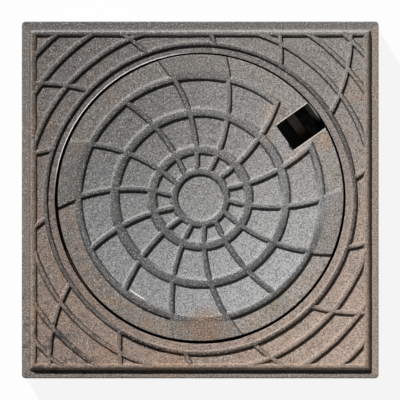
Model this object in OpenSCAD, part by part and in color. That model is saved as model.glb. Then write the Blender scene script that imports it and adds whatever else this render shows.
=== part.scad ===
// Access cover: a round cast-iron cover in a square cast-iron frame.
// Origin: centre of the frame's bed. +Z is up and +Y is the top of the plan view.

/* [Frame] */
// Width of the square frame over its outer ledge
frame_w = 480; // [472:1:520]
// Height of the frame from its bed to the tops of its ribs
frame_h = 100; // [90:1:130]
// Corner radius of the outer ledge
ledge_corner_r = 5; // [2:0.5:12]
// Width of the low ledge round the raised deck
ledge_w = 10.5; // [8:0.5:13]
// How far the ledge lies below the tops of the ribs
ledge_drop = 8; // [6:0.5:10]
// Run of the sloped side between the ledge and the deck's top
deck_run = 3.5; // [2:0.5:5]
// Width of the flat top of the border rib
border_w = 4.5; // [3:0.5:6]
// Run of the border rib's inner slope
border_run = 2; // [1:0.5:3]
// Thickness of the deck under its floor
deck_t = 12; // [9:0.5:16]
// Thickness of the outer skirt
skirt_t = 9; // [7:0.5:14]
// How far the pocket and all round ribs lie off the middle of the square, towards its top
pocket_offset = 2.2; // [0:0.1:3]

/* [Seat] */
// Diameter of the clear opening
clear_d = 315; // [300:1:320]
// Depth of the seat shelf below the tops of the ribs
seat_depth = 50; // [46:1:56]
// Thickness of the seat shelf
shelf_t = 12; // [10:0.5:16]
// Thickness of the conical wall round the cover
housing_t = 10; // [8:0.5:12]
// Thickness of the collar below the shelf
collar_t = 11; // [8:0.5:14]
// Number of webs between the collar and the skirt
web_count = 8; // [4:4:12]
// Thickness of each web
web_t = 10; // [7:0.5:14]
// Radial width of the seat ring
gasket_w = 16; // [12:0.5:16]
// Height of the seat ring
gasket_h = 6; // [5:0.5:8]
// Depth of the groove that holds the seat ring
groove_depth = 4; // [2:0.5:4.5]
// Bevel along the upper edges of the seat ring
gasket_bevel = 1.5; // [0.5:0.5:2]

/* [Cover] */
// Diameter of the cover
cover_d = 386; // [378:1:392]
// Thickness of the cover's plate under its floor
plate_t = 12; // [9:0.5:16]
// Loss of radius from the cover's top edge to the level of the seat shelf
rim_taper = 8; // [5:0.5:9]
// Thickness of the cover's rim at its foot
rim_t = 12.5; // [10:0.5:14]
// Angle by which the cover lies turned in its frame
cover_turn = -1.9; // [-12:0.1:12]
// How far the cover lies off the middle of its pocket, towards the top
cover_offset = 0.8; // [0:0.1:1]
// Radii of the middle of the round ribs below the plate
under_ring_r = [26, 77, 126]; // [20:1:140]
// Thickness of the ribs below the plate
under_rib_t = 8; // [6:0.5:10]
// Number of straight ribs below the plate
under_rib_count = 8; // [8:8:16]
// Height of the ribs' feet above the foot of the rim
under_rib_lift = 4; // [2:0.5:12]

/* [Lifting notch] */
// Direction of the notch on the cover
notch_angle = 37.2; // [36:0.1:38.5]
// Width of the notch
notch_w = 41; // [34:0.5:42]
// Length of the notch, inwards from the cover's edge
notch_l = 54; // [46:0.5:56]
// Radius of the notch's inner corners
notch_corner_r = 2; // [1:0.5:6]

/* [Fits] */
// Radial gap between the cover and the frame
seam_gap = 2.3; // [1.5:0.1:3]
// Gap between the foot of the rim and the seat ring
rest_gap = 0.3; // [0.1:0.1:0.5]
// Radial gap between the seat ring and its groove
groove_gap = 0.3; // [0.1:0.1:0.5]

/* [Relief] */
// Height of all ribs above the floor
relief_h = 4; // [3.5:0.1:5]
// Height of the shoulders of all ribs, where their backs begin to round off
shoulder_h = 2.6; // [2:0.1:3]
// Place of the shoulders, as a share of a rib's half width
shoulder_at = 0.68; // [0.6:0.01:0.8]
// Half width of the flat crest, as a share of a rib's half width
crest_at = 0.35; // [0.2:0.01:0.45]
// Number of swirl ribs
swirl_count = 14; // [14:1:14]
// Radius of curvature of each swirl rib
swirl_bend_r = 207; // [195:1:220]
// Distance from the centre at which a swirl rib runs straight outwards
swirl_root_r = 67; // [60:1:72]
// Direction of the first swirl rib at that distance
swirl_phase = 19.1; // [18:0.1:20]
// Width of a swirl rib on the cover at its foot
spoke_w = 9.8; // [8:0.2:12]
// Radii of the middle of the cover's ring ribs
cover_ring_r = [35.1, 64.8, 114.9, 163.4]; // [30:0.1:170]
// Widths of the cover's ring ribs at their feet
cover_ring_w = [13.2, 17.1, 17, 12.2]; // [10:0.1:20]
// Number of the swirl rib at which each raised pad of the cover starts
pad_starts = [2, 5, 9, 12]; // [0:1:13]
// How far the pads and their ribs stand back from the cover's edge
pad_setback = 0.5; // [0.4:0.1:1.5]
// Width of the flat channel round the seam
channel_w = 9; // [7:0.5:10]
// Width of the frame's ring rib at its foot
frame_ring_w = 8; // [6.5:0.5:9]
// Radii of the middle of the arc ribs in the frame's corners
corner_arc_r = [234.3, 264.2, 293.6]; // [225:0.1:300]
// Width of the arc ribs at their feet
corner_arc_w = 9.2; // [8:0.2:11]
// Width of the frame's swirl ribs at their feet
frame_spoke_w = 8.4; // [7:0.2:10]

/* [Hidden] */
$fn = 180;
// Overlap that makes joined shapes one solid
sink = 1;
// Turn of each straight length of a swirl rib
swirl_facet = 5;

floor_z = frame_h - relief_h;
ledge_z = frame_h - ledge_drop;
seat_z = frame_h - seat_depth;
deck_under_z = floor_z - deck_t;
deck_w = frame_w - 2 * ledge_w;
deck_top_w = deck_w - 2 * deck_run;
border_in_w = deck_top_w - 2 * border_w;
field_w = border_in_w - 2 * border_run;
skirt_in_w = frame_w - 2 * skirt_t;

cover_r = cover_d / 2;
clear_r = clear_d / 2;
seat_depth_below_floor = floor_z - seat_z;
pocket_top_r = cover_r + seam_gap;
pocket_foot_r = pocket_top_r - rim_taper;
taper_rate = rim_taper / seat_depth_below_floor;
gasket_out_r = pocket_foot_r - 2 * groove_gap;
gasket_in_r = gasket_out_r - gasket_w;
groove_z = seat_z - groove_depth;
gasket_top_z = groove_z + gasket_h;

rim_foot_z = gasket_top_z + rest_gap;
rim_foot_r = cover_r - (floor_z - rim_foot_z) * taper_rate;
rim_in_r = rim_foot_r - rim_t;
plate_under_z = floor_z - plate_t;
under_rib_z = rim_foot_z + under_rib_lift;
notch_root_r = cover_r - notch_l;

swirl_step = 360 / swirl_count;
swirl_centre_r = norm([swirl_root_r, swirl_bend_r]);
swirl_lean = atan2(swirl_root_r, swirl_bend_r);
frame_ring_mid_r = pocket_top_r + channel_w + frame_ring_w / 2;
pad_ring = len(cover_ring_r) - 1;
pad_ring_r = cover_ring_r[pad_ring];
pad_start_r = pad_ring_r - cover_ring_w[pad_ring] / 2;
past_edge_r = cover_r + spoke_w;
past_corner_r = field_w * 0.75;

// Turn about a swirl rib's own centre, from its straight start to the distance r
function swirl_turn(r) =
    acos((swirl_centre_r ^ 2 + swirl_bend_r ^ 2 - r ^ 2) / (2 * swirl_centre_r * swirl_bend_r)) - swirl_lean;

// Point in plan on a swirl rib, given by the turn along its arc and the place beside the arc
function swirl_point(number, turn, beside = 0) =
    let (
        outwards = swirl_root_r + (swirl_bend_r + beside) * sin(turn),
        sideways = swirl_bend_r - (swirl_bend_r + beside) * cos(turn),
        direction = swirl_phase + number * swirl_step
    )
    [
        outwards * cos(direction) - sideways * sin(direction),
        outwards * sin(direction) + sideways * cos(direction)
    ];

// Direction of a swirl rib's middle, seen from the cover's centre, at the distance r
function swirl_direction(number, r) =
    let (place = swirl_point(number, swirl_turn(r)))
    atan2(place[1], place[0]);

// Whether a swirl rib of the cover bounds a pad and runs on to the cover's edge
function bounds_pad(number) = len([for (k = pad_starts) if (k == number || k + 1 == number) k]) > 0;

// Corners of a rib's section, which stands sunk in the floor
function rib_corners(foot_w) =
    let (
        half = foot_w / 2,
        sunk_half = half + sink * half * (1 - shoulder_at) / shoulder_h
    )
    [
        [-sunk_half, -sink],
        [sunk_half, -sink],
        [half * shoulder_at, shoulder_h],
        [half * crest_at, relief_h],
        [-half * crest_at, relief_h],
        [-half * shoulder_at, shoulder_h]
    ];

// Round rib about the centre, over a part of the circle
module ring_rib(mid, foot_w, start = 0, sweep = 360) {
    translate([0, 0, floor_z])
        rotate([0, 0, start])
            rotate_extrude(angle = sweep)
                translate([mid, 0])
                    polygon(rib_corners(foot_w));
}

// Swirl rib from one distance to another: the rib's section swept along its arc in short lengths
module swirl_rib(number, from_r, to_r, foot_w) {
    first = swirl_turn(from_r);
    sweep = swirl_turn(to_r) - first;
    lengths = max(1, round(sweep / swirl_facet));
    section = rib_corners(foot_w);
    corners = len(section);
    points = [
        for (i = [0 : lengths], corner = section)
            concat(swirl_point(number, first + i * sweep / lengths, corner[0]), floor_z + corner[1])
    ];
    sides = [
        for (i = [0 : lengths - 1], c = [0 : corners - 1])
            let (here = corners * i, next = (c + 1) % corners)
            [here + c, here + next, here + corners + next, here + corners + c]
    ];
    start_cap = [for (c = [corners - 1 : -1 : 0]) c];
    end_cap = [for (c = [0 : corners - 1]) corners * lengths + c];
    polyhedron(points, concat(sides, [start_cap, end_cap]));
}

// Places a round shape on the pocket's middle
module at_pocket() {
    translate([0, pocket_offset, 0])
        children();
}

// Ring with a rectangular section
module tube(out_r, in_r, low_z, high_z) {
    translate([0, 0, low_z])
        difference() {
            cylinder(h = high_z - low_z, r = out_r);
            translate([0, 0, -sink])
                cylinder(h = high_z - low_z + 2 * sink, r = in_r);
        }
}

// Square block with four sloped sides
module sloped_block(foot_w, top_w, low_z, high_z) {
    intersection_for(turn = [0, 90])
        rotate([0, 0, turn])
            rotate([90, 0, 0])
                translate([0, 0, -max(foot_w, top_w) / 2])
                    linear_extrude(max(foot_w, top_w))
                        polygon([
                            [-foot_w / 2, low_z],
                            [foot_w / 2, low_z],
                            [top_w / 2, high_z],
                            [-top_w / 2, high_z]
                        ]);
}

// Square outline with round corners
module rounded_square(w, r) {
    square([w - 2 * r, w], center = true);
    square([w, w - 2 * r], center = true);
    for (x = [-1, 1], y = [-1, 1])
        translate([x * (w / 2 - r), y * (w / 2 - r)])
            circle(r = r);
}

// Outer skirt and the low ledge on top of it
module skirt() {
    difference() {
        linear_extrude(ledge_z)
            rounded_square(frame_w, ledge_corner_r);
        translate([-skirt_in_w / 2, -skirt_in_w / 2, -sink])
            cube([skirt_in_w, skirt_in_w, deck_under_z + sink]);
    }
}

// Raised deck with its sunk floor
module deck() {
    difference() {
        sloped_block(deck_w + 2 * deck_run, deck_top_w, ledge_z - ledge_drop, frame_h);
        sloped_block(field_w, border_in_w + 2 * border_run, floor_z, frame_h + relief_h);
    }
}

// Straight webs that tie the collar and the housing to the skirt
module webs() {
    intersection() {
        at_pocket()
            for (k = [0 : web_count - 1])
                rotate([0, 0, (k + 0.5) * 360 / web_count])
                    translate([clear_r + sink, -web_t / 2, 0])
                        cube([frame_w, web_t, deck_under_z + sink]);
        translate([-skirt_in_w / 2 - sink, -skirt_in_w / 2 - sink, 0])
            cube([skirt_in_w + 2 * sink, skirt_in_w + 2 * sink, deck_under_z + sink]);
    }
}

// Conical housing and the collar below its shelf, before they are bored
module housing_blank() {
    translate([0, 0, seat_z - shelf_t])
        cylinder(
            h = deck_under_z + sink - seat_z + shelf_t,
            r1 = pocket_foot_r + housing_t - shelf_t * taper_rate,
            r2 = pocket_foot_r + housing_t + (deck_under_z + sink - seat_z) * taper_rate
        );
    cylinder(h = seat_z, r = clear_r + collar_t);
}

// Conical pocket for the cover, the groove in its floor and the clear opening
module seat_bore() {
    translate([0, 0, seat_z])
        cylinder(
            h = frame_h - seat_z + sink,
            r1 = pocket_foot_r,
            r2 = pocket_foot_r + (frame_h - seat_z + sink) * taper_rate
        );
    tube(gasket_out_r + groove_gap, gasket_in_r - groove_gap, groove_z, seat_z + sink);
    translate([0, 0, -sink])
        cylinder(h = frame_h, r = clear_r);
}

// Ribs on the frame's sunk floor, cut off at the border
module frame_relief() {
    at_pocket()
        ring_rib(frame_ring_mid_r, frame_ring_w);
    intersection() {
        at_pocket() {
            for (r = corner_arc_r)
                ring_rib(r, corner_arc_w);
            for (k = [0 : swirl_count - 1])
                swirl_rib(k, frame_ring_mid_r, past_corner_r, frame_spoke_w);
        }
        sloped_block(field_w + 2 * sink, border_in_w + 2 * sink, floor_z - sink, frame_h);
    }
}

module frame() {
    color("dimgray") {
        difference() {
            union() {
                skirt();
                deck();
                webs();
                at_pocket()
                    housing_blank();
            }
            at_pocket()
                seat_bore();
        }
        frame_relief();
    }
}

module seat_gasket() {
    color("black")
        at_pocket()
            rotate_extrude()
                polygon([
                    [gasket_in_r, groove_z],
                    [gasket_out_r, groove_z],
                    [gasket_out_r, gasket_top_z - gasket_bevel],
                    [gasket_out_r - gasket_bevel, gasket_top_z],
                    [gasket_in_r + gasket_bevel, gasket_top_z],
                    [gasket_in_r, gasket_top_z - gasket_bevel]
                ]);
}

// Plate and conical rim of the cover as one turned shape
module cover_shell() {
    rotate_extrude()
        polygon([
            [0, plate_under_z],
            [rim_in_r, plate_under_z],
            [rim_in_r, rim_foot_z],
            [rim_foot_r, rim_foot_z],
            [cover_r, floor_z],
            [0, floor_z]
        ]);
}

// Round and straight ribs below the plate
module cover_under_ribs() {
    for (r = under_ring_r)
        tube(r + under_rib_t / 2, r - under_rib_t / 2, under_rib_z, plate_under_z + sink);
    for (k = [0 : under_rib_count - 1])
        rotate([0, 0, notch_angle + (k + 0.5) * 360 / under_rib_count])
            translate([under_ring_r[0], -under_rib_t / 2, under_rib_z])
                cube([rim_in_r + sink - under_ring_r[0], under_rib_t, plate_under_z + sink - under_rib_z]);
}

// Raised pad between two swirl ribs, from the outer ring rib past the cover's edge
module pad(number) {
    start = swirl_turn(pad_start_r);
    end = swirl_turn(past_edge_r);
    translate([0, 0, floor_z - sink])
        linear_extrude(relief_h + sink)
            difference() {
                polygon([
                    swirl_point(number, start),
                    swirl_point(number, end),
                    swirl_point(number + 1, end),
                    swirl_point(number + 1, start)
                ]);
                circle(r = pad_ring_r);
            }
}

// Ring ribs of the cover; the outer one stops beside the notch
module cover_rings() {
    for (k = [0 : pad_ring - 1])
        ring_rib(cover_ring_r[k], cover_ring_w[k]);
    ring_rib(pad_ring_r, cover_ring_w[pad_ring], swirl_direction(1, pad_ring_r), 360 - swirl_step);
}

// Swirl ribs and pads of the cover, cut off at its edge
module cover_spokes() {
    intersection() {
        union() {
            for (k = [0 : swirl_count - 1])
                swirl_rib(k, cover_ring_r[0], bounds_pad(k) ? past_edge_r : pad_ring_r, spoke_w);
            for (k = pad_starts)
                pad(k);
        }
        translate([0, 0, floor_z - 2 * sink])
            cylinder(h = relief_h + 3 * sink, r = cover_r - pad_setback);
    }
}

// Open notch for the lifting tool, through the plate and the rim
module notch_cut() {
    notch_h = frame_h - rim_foot_z + 2 * sink;
    rotate([0, 0, notch_angle])
        translate([notch_root_r, 0, rim_foot_z - sink])
            linear_extrude(notch_h) {
                translate([notch_corner_r, -notch_w / 2])
                    square([notch_l, notch_w]);
                translate([0, notch_corner_r - notch_w / 2])
                    square([notch_l, notch_w - 2 * notch_corner_r]);
                for (side = [-1, 1])
                    translate([notch_corner_r, side * (notch_w / 2 - notch_corner_r)])
                        circle(r = notch_corner_r);
            }
}

module cover() {
    color("gray")
        translate([0, pocket_offset + cover_offset, 0])
            rotate([0, 0, cover_turn])
                difference() {
                    union() {
                        cover_shell();
                        cover_under_ribs();
                        cover_rings();
                        cover_spokes();
                    }
                    notch_cut();
                }
}

frame();
seat_gasket();
cover();
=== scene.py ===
# %% [markdown]
# # Dressing a cast-iron access cover
#
# The construction of this cover and its frame is already made and comes in as a fixed frame. This lesson
# gives the castings their true skin: round-backed ribs with soft feet, the sand-cast grain, the worn
# middle and the rust towards the corners. Everything is in metres, and the view looks straight down.

import math

import bmesh
import bpy
import numpy as np
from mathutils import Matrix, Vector, noise


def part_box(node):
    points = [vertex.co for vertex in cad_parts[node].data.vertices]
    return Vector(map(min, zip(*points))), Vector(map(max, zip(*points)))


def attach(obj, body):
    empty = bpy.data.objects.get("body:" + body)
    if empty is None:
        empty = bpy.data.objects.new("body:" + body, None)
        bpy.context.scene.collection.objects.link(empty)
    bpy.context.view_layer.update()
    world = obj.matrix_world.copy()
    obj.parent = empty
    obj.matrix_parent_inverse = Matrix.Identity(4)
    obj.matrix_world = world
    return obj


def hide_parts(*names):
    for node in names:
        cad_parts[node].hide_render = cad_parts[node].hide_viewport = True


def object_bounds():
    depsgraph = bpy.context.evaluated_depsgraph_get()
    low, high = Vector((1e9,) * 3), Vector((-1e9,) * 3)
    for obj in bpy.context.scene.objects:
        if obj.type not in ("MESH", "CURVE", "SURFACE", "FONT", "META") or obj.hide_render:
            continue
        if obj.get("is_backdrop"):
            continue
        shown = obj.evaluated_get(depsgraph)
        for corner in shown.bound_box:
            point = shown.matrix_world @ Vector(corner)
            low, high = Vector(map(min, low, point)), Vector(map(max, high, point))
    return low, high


MM = 0.001

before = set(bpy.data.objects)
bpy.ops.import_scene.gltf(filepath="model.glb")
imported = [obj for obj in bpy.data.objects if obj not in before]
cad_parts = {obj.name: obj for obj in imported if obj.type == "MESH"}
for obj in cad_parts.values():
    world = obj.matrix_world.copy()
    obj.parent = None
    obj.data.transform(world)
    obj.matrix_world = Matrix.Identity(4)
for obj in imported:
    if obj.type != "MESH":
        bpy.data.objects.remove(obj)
cad_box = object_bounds()
print("castings loaded:", sorted(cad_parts))

# %% [markdown]
# ## The sizes that everything follows
#
# A foundry drawing starts from a few numbers. Here they are read off the loaded castings where they can
# be, such as the width of the frame and the height of its ribs, and named where they can't, such as the
# radii of the round ribs. A value that is named once can be changed once. The taper says how much
# narrower the pocket and the cover get with each millimetre down towards the seat.

# %% Sizes read from the castings
frame_low, frame_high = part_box("frame")
cover_low, cover_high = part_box("cover")
FRAME_HALF = frame_high.x
RIB_TOP = frame_high.z
RIB_H = 4.0 * MM
LEDGE_DROP = 8.0 * MM
SEAM_GAP = 2.3 * MM
COVER_SHIFT = 0.8 * MM
FLOOR_Z = RIB_TOP - RIB_H
LEDGE_Z = RIB_TOP - LEDGE_DROP
NARROWING_MM, SEAT_BELOW_FLOOR_MM = 8.0, 46.0
TAPER = NARROWING_MM / SEAT_BELOW_FLOOR_MM
COVER_R = 193.0 * MM
POCKET_R = COVER_R + SEAM_GAP
POCKET_Y = 2.2 * MM
COVER_Y = POCKET_Y + COVER_SHIFT
print("frame", round((frame_high.x - frame_low.x) / MM, 1), "mm wide and", round(RIB_TOP / MM, 1), "mm tall")
print("cover", round((cover_high.x - cover_low.x) / MM, 1), "mm across")

# %% [markdown]
# ## One family of swirl ribs
#
# Every swirl rib of the real castings follows the same arc, turned about the centre by a fourteenth of a
# circle each time. A function that gives the direction of that arc at any distance from the centre is
# all we need: the ribs, the pads between them and even the grid of our mesh can follow it. We use numpy
# here, because a whole row of points can be worked out in one step. The cover lies turned by about two
# degrees in its frame, so its ribs miss the frame's by that much.

# %% Direction of a swirl rib at any distance
SWIRLS = 14
SWIRL_STEP = math.tau / SWIRLS
SWIRL_BEND = 207.0 * MM
SWIRL_ROOT = 67.0 * MM
SWIRL_CENTRE = math.hypot(SWIRL_ROOT, SWIRL_BEND)
SWIRL_LEAN = math.atan2(SWIRL_ROOT, SWIRL_BEND)
COVER_TURN_DEG = 1.9
FRAME_PHASE = math.radians(19.1)
COVER_PHASE = FRAME_PHASE - math.radians(COVER_TURN_DEG)
NEAREST_R = 28.5 * MM


def swirl_direction(r, beside):
    """Direction of a line beside the first swirl rib at the distance r, before the pattern is turned."""
    reach = SWIRL_BEND + beside
    r = np.maximum(r, NEAREST_R)
    turn = np.arccos((SWIRL_CENTRE**2 + reach**2 - r**2) / (2 * SWIRL_CENTRE * reach)) - SWIRL_LEAN
    outwards = SWIRL_ROOT + reach * np.sin(turn)
    sideways = SWIRL_BEND - reach * np.cos(turn)
    return np.arctan2(sideways, outwards)


print("swirl at 160 mm:", round(math.degrees(float(swirl_direction(np.array(0.16), 0.0))), 1), "degrees")

# %% [markdown]
# ## The section of a cast rib
#
# A rib that was drawn out of sand has a slightly round back, steep flanks and a fillet at its foot, never
# a sharp corner. We write down a handful of points of that section and let numpy draw the line through
# them. Where two ribs meet, a smooth maximum lets them run into each other the way the pattern maker's
# wax fillets do.

# %% Rib profile and smooth joining
SECTION_PLACE = (0.0, 0.22, 0.4, 0.52, 0.6, 0.82, 0.89, 0.95, 1.0)
SECTION_HEIGHT = (1.0, 0.99, 0.95, 0.87, 0.74, 0.16, 0.06, 0.015, 0.0)
FILLET = 0.35 * MM


def rib_back(distance, half_width, height=RIB_H):
    """Height of a round-backed rib at a distance from its middle line."""
    share = np.clip(np.abs(distance) / half_width, 0.0, 1.0)
    return height * np.interp(share, SECTION_PLACE, SECTION_HEIGHT)


def join(a, b, fillet=FILLET):
    """The larger of two heights, with a soft valley between them."""
    near = np.clip(0.5 + 0.5 * (a - b) / fillet, 0.0, 1.0)
    return b + (a - b) * near + fillet * near * (1.0 - near)


halfway = float(rib_back(2.5 * MM, 5 * MM))
print("a rib 10 mm wide is", round(halfway / MM, 2), "mm high halfway down its flank")

# %% [markdown]
# ## A grid that follows the casting
#
# A plain square grid would cut the curved ribs into stairs. Our grid is bent instead: its rows are
# circles and its columns follow the swirl ribs, so every rib lies along grid lines. The rows and columns
# are close together on the flanks, where the surface curves, and far apart on the flat floor.

# %% Rows and columns of the bent grid
FLANK = np.array([-1.08, -0.95, -0.89, -0.82, -0.71, -0.6, -0.52, -0.4, -0.15])
FLANK = np.concatenate([FLANK, -FLANK[::-1]])
FLOOR_SHARES = (0.05, 0.2, 0.4, 0.6, 0.8, 0.95)
FLOOR_OFFSET = 1.0
CLOSEST_ROWS = 0.15 * MM


def rows_between(low, high, rings, spacing):
    """Row radii: close rows across each (middle, half width) ring, even rows on the floor between."""
    rows = []
    for middle, half in rings:
        rows += [middle + half * share for share in FLANK]
    rows = sorted(r for r in rows if low < r < high)
    marks = [low] + rows + [high]
    for a, b in zip(marks, marks[1:]):
        steps = max(1, math.ceil((b - a) / spacing))
        rows += [a + (b - a) * k / steps for k in range(steps)]
    merged = []
    for r in sorted(set(rows + [high])):
        if not merged or r - merged[-1] > CLOSEST_ROWS:
            merged.append(r)
    return np.array(merged)


def bent_grid(rows, phase, rib_half):
    """Directions and offsets of every grid point: rows are circles, columns follow the swirl ribs."""
    directions, offsets, sectors = [], [], []
    for k in range(SWIRLS):
        turned = phase + k * SWIRL_STEP
        for share in -FLANK:
            directions.append(turned + swirl_direction(rows, share * rib_half))
            offsets.append(np.full(len(rows), -share * rib_half))
            sectors.append(k if -share > 0 else (k - 1) % SWIRLS)
        this_edge = turned + swirl_direction(rows, -FLANK[-1] * rib_half)
        next_edge = turned + SWIRL_STEP + swirl_direction(rows, FLANK[-1] * rib_half)
        for share in FLOOR_SHARES:
            directions.append(this_edge + (next_edge - this_edge) * share)
            offsets.append(np.full(len(rows), FLOOR_OFFSET))
            sectors.append(k)
    return np.array(directions).T, np.array(offsets).T, np.array(sectors)


print("the grid has", SWIRLS * (len(FLANK) + len(FLOOR_SHARES)), "columns")

# %% [markdown]
# ## The relief of the cover
#
# Four ring ribs, fourteen swirl ribs and four raised pads. Every rib ends inside another one, so each
# swirl rib is held under the back of the ring that it ends in. The outer ring stops beside the lifting
# notch, as on the real cover.

# %% Heights of the cover's relief
COVER_RINGS = (
    (35.1 * MM, 6.6 * MM), (64.8 * MM, 8.55 * MM), (114.9 * MM, 8.5 * MM), (163.4 * MM, 6.1 * MM),
)
COVER_RIB_HALF = 4.9 * MM
PAD_STARTS = (2, 5, 9, 12)
NOTCH_SECTOR = 0


def cover_heights(rows, offsets, sectors):
    """Height of the cover's relief over its floor, for each row and column of the grid."""
    r = rows[:, None] + np.zeros_like(offsets)
    inner, outer = COVER_RINGS[0], COVER_RINGS[-1]
    rings = np.zeros_like(r)
    for middle, half in COVER_RINGS[:-1]:
        rings = np.maximum(rings, rib_back(r - middle, half))
    outer_ring = rib_back(r - outer[0], outer[1])
    outer_ring[:, sectors == NOTCH_SECTOR] = 0.0
    rings = np.maximum(rings, outer_ring)
    swirls = rib_back(offsets, COVER_RIB_HALF)
    inside = r < inner[0]
    swirls[inside] = np.minimum(swirls, rib_back(r - inner[0], inner[1]))[inside]
    padded = [n for k in PAD_STARTS for n in (k, k + 1)]
    nearest = np.where(offsets > 0, sectors, sectors + 1) % SWIRLS
    outside = (r > outer[0]) & ~np.isin(nearest, padded)
    swirls[outside] = np.minimum(swirls, rib_back(r - outer[0], outer[1]))[outside]
    heights = join(rings, swirls)
    on_pad = (r >= outer[0]) & np.isin(sectors, PAD_STARTS)
    heights[on_pad] = RIB_H
    return heights


print("the cover has", len(COVER_RINGS), "ring ribs,", SWIRLS, "swirl ribs and", len(PAD_STARTS), "pads")

# %% [markdown]
# ## The relief of the frame
#
# On the frame the same swirl ribs go on outwards, across one full ring rib and three arc ribs in each
# corner. They stand a hair lower than the border that they run into, so that the two surfaces never lie
# in one plane there.

# %% Heights of the frame's relief
FRAME_RING = (208.3 * MM, 4.0 * MM)
CORNER_ARCS = ((234.3 * MM, 4.6 * MM), (264.2 * MM, 4.6 * MM), (293.6 * MM, 4.6 * MM))
FRAME_RIB_HALF = 4.2 * MM
FRAME_RIB_H = RIB_H - 0.08 * MM


def frame_heights(rows, offsets, sectors):
    """Height of the frame's relief over its floor, for each row and column of the grid."""
    r = rows[:, None] + np.zeros_like(offsets)
    rings = np.zeros_like(r)
    for middle, half in (FRAME_RING, *CORNER_ARCS):
        rings = np.maximum(rings, rib_back(r - middle, half, FRAME_RIB_H))
    swirls = rib_back(offsets, FRAME_RIB_HALF, FRAME_RIB_H)
    inside = r < FRAME_RING[0]
    ring = rib_back(r - FRAME_RING[0], FRAME_RING[1], FRAME_RIB_H)
    swirls[inside] = np.minimum(swirls, ring)[inside]
    return join(rings, swirls)


print("the frame has a ring rib and", len(CORNER_ARCS), "arc ribs in each corner")

# %% [markdown]
# ## From heights to a closed sheet of iron
#
# The heights become a mesh of quads, and the mesh gets the small wander of a hand-rammed sand mould:
# ribs that shift by a third of a millimetre and a floor that is never quite flat. Then its border is
# drawn down to a level plane and closed, because a solid that is to be cast or printed has no open edge.

# %% Turning the grid into a mesh
WANDER_SIZE = 26.0 * MM
WANDER_SHIFT = 0.4 * MM
WANDER_LIFT = 0.16 * MM
RIPPLE_SIZE = 5.5 * MM
RIPPLE_LIFT = 0.14 * MM
SINK = 0.15 * MM
CALM_WIDTH = 8 * MM


def wander(x, y, size, seed):
    """Smooth noise from about -1 to 1 that is the same at every run."""
    return noise.noise(Vector((x / size, y / size, seed)))


def bent_sheet(rows, directions, heights, middle_y, edge_drop, calm):
    """Quads over the bent grid, with the mould's wander; calm(r) is 0 where the edge has to stay true."""
    bm = bmesh.new()
    grid = []
    for i, r in enumerate(rows):
        line = []
        for j in range(directions.shape[1]):
            x, y = r * math.cos(directions[i, j]), middle_y + r * math.sin(directions[i, j])
            free = calm(r)
            shift_x = WANDER_SHIFT * wander(x, y, WANDER_SIZE, seed=3.1) * free
            shift_y = WANDER_SHIFT * wander(x, y, WANDER_SIZE, seed=8.7) * free
            ripple = RIPPLE_LIFT * wander(x, y, RIPPLE_SIZE, seed=5.3)
            swell = WANDER_LIFT * wander(x, y, WANDER_SIZE, seed=1.9)
            lift = min(heights[i, j] - SINK + (ripple + swell) * free, RIB_H)
            line.append(bm.verts.new((x + shift_x, y + shift_y, FLOOR_Z + lift - edge_drop(r))))
        grid.append(line)
    columns = directions.shape[1]
    for i in range(len(rows) - 1):
        for j in range(columns):
            n = (j + 1) % columns
            bm.faces.new((grid[i][j], grid[i + 1][j], grid[i + 1][n], grid[i][n]))
    return bm, grid


def close_below(bm, level, seat=None):
    """Draws a sheet's open border down to a level and closes it; seat moves border points in plan."""
    border = [e for e in bm.edges if e.is_boundary]
    made = bmesh.ops.extrude_edge_only(bm, edges=border)["geom"]
    for v in (g for g in made if isinstance(g, bmesh.types.BMVert)):
        v.co.z = level
        if seat is not None:
            v.co.x, v.co.y = seat(v.co.x, v.co.y)
    foot = [e for e in bm.edges if e.is_boundary]
    bmesh.ops.triangle_fill(bm, use_beauty=True, use_dissolve=False, edges=foot)
    bmesh.ops.recalc_face_normals(bm, faces=bm.faces[:])


print("the mould wanders by", round(WANDER_SHIFT / MM, 1), "mm over about", round(WANDER_SIZE / MM), "mm")

# %% [markdown]
# ## Cutting openings in a sheet
#
# The lifting notch is a straight-sided hole, and our grid is round. So the notch is cut like sheet
# metal: the faces near it are split along each side of its outline, and what lies inside is taken out.
# Splitting along planes keeps the edges dead straight, whatever the grid does.

# %% Cutting a convex outline out of a sheet
ON_PLANE = 1e-6


def cut_outline(bm, outline, margin=12.0 * MM):
    """Takes the part of a sheet inside a convex, anticlockwise outline of (x, y) points out of it."""
    low = [min(p[k] for p in outline) - margin for k in (0, 1)]
    high = [max(p[k] for p in outline) + margin for k in (0, 1)]
    sides = []
    for a, b in zip(outline, outline[1:] + outline[:1]):
        along = Vector((b[0] - a[0], b[1] - a[1], 0.0)).normalized()
        sides.append((Vector((a[0], a[1], 0.0)), Vector((along.y, -along.x, 0.0))))

    def near():
        faces = [f for f in bm.faces if all(low[k] < f.calc_center_median()[k] < high[k] for k in (0, 1))]
        edges = {e for f in faces for e in f.edges}
        return faces + list(edges) + list({v for f in faces for v in f.verts})

    for place, outwards in sides:
        bmesh.ops.bisect_plane(bm, geom=near(), dist=ON_PLANE, plane_co=place, plane_no=outwards)
    inside = [
        f for f in bm.faces
        if all((f.calc_center_median() - place).dot(outwards) < 0 for place, outwards in sides)
    ]
    bmesh.ops.delete(bm, geom=inside, context="FACES")
    print("cut out", len(inside), "faces")


def turned(points, angle, middle_y=0.0):
    """Plan points turned by an angle and set on a middle on the y axis."""
    c, s = math.cos(angle), math.sin(angle)
    return [(x * c - y * s, middle_y + x * s + y * c) for x, y in points]


quarter = turned([(10, 0)], math.pi / 2)[0]
print("the point (10, 0) turned by a quarter:", [round(v, 1) for v in quarter])

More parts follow.
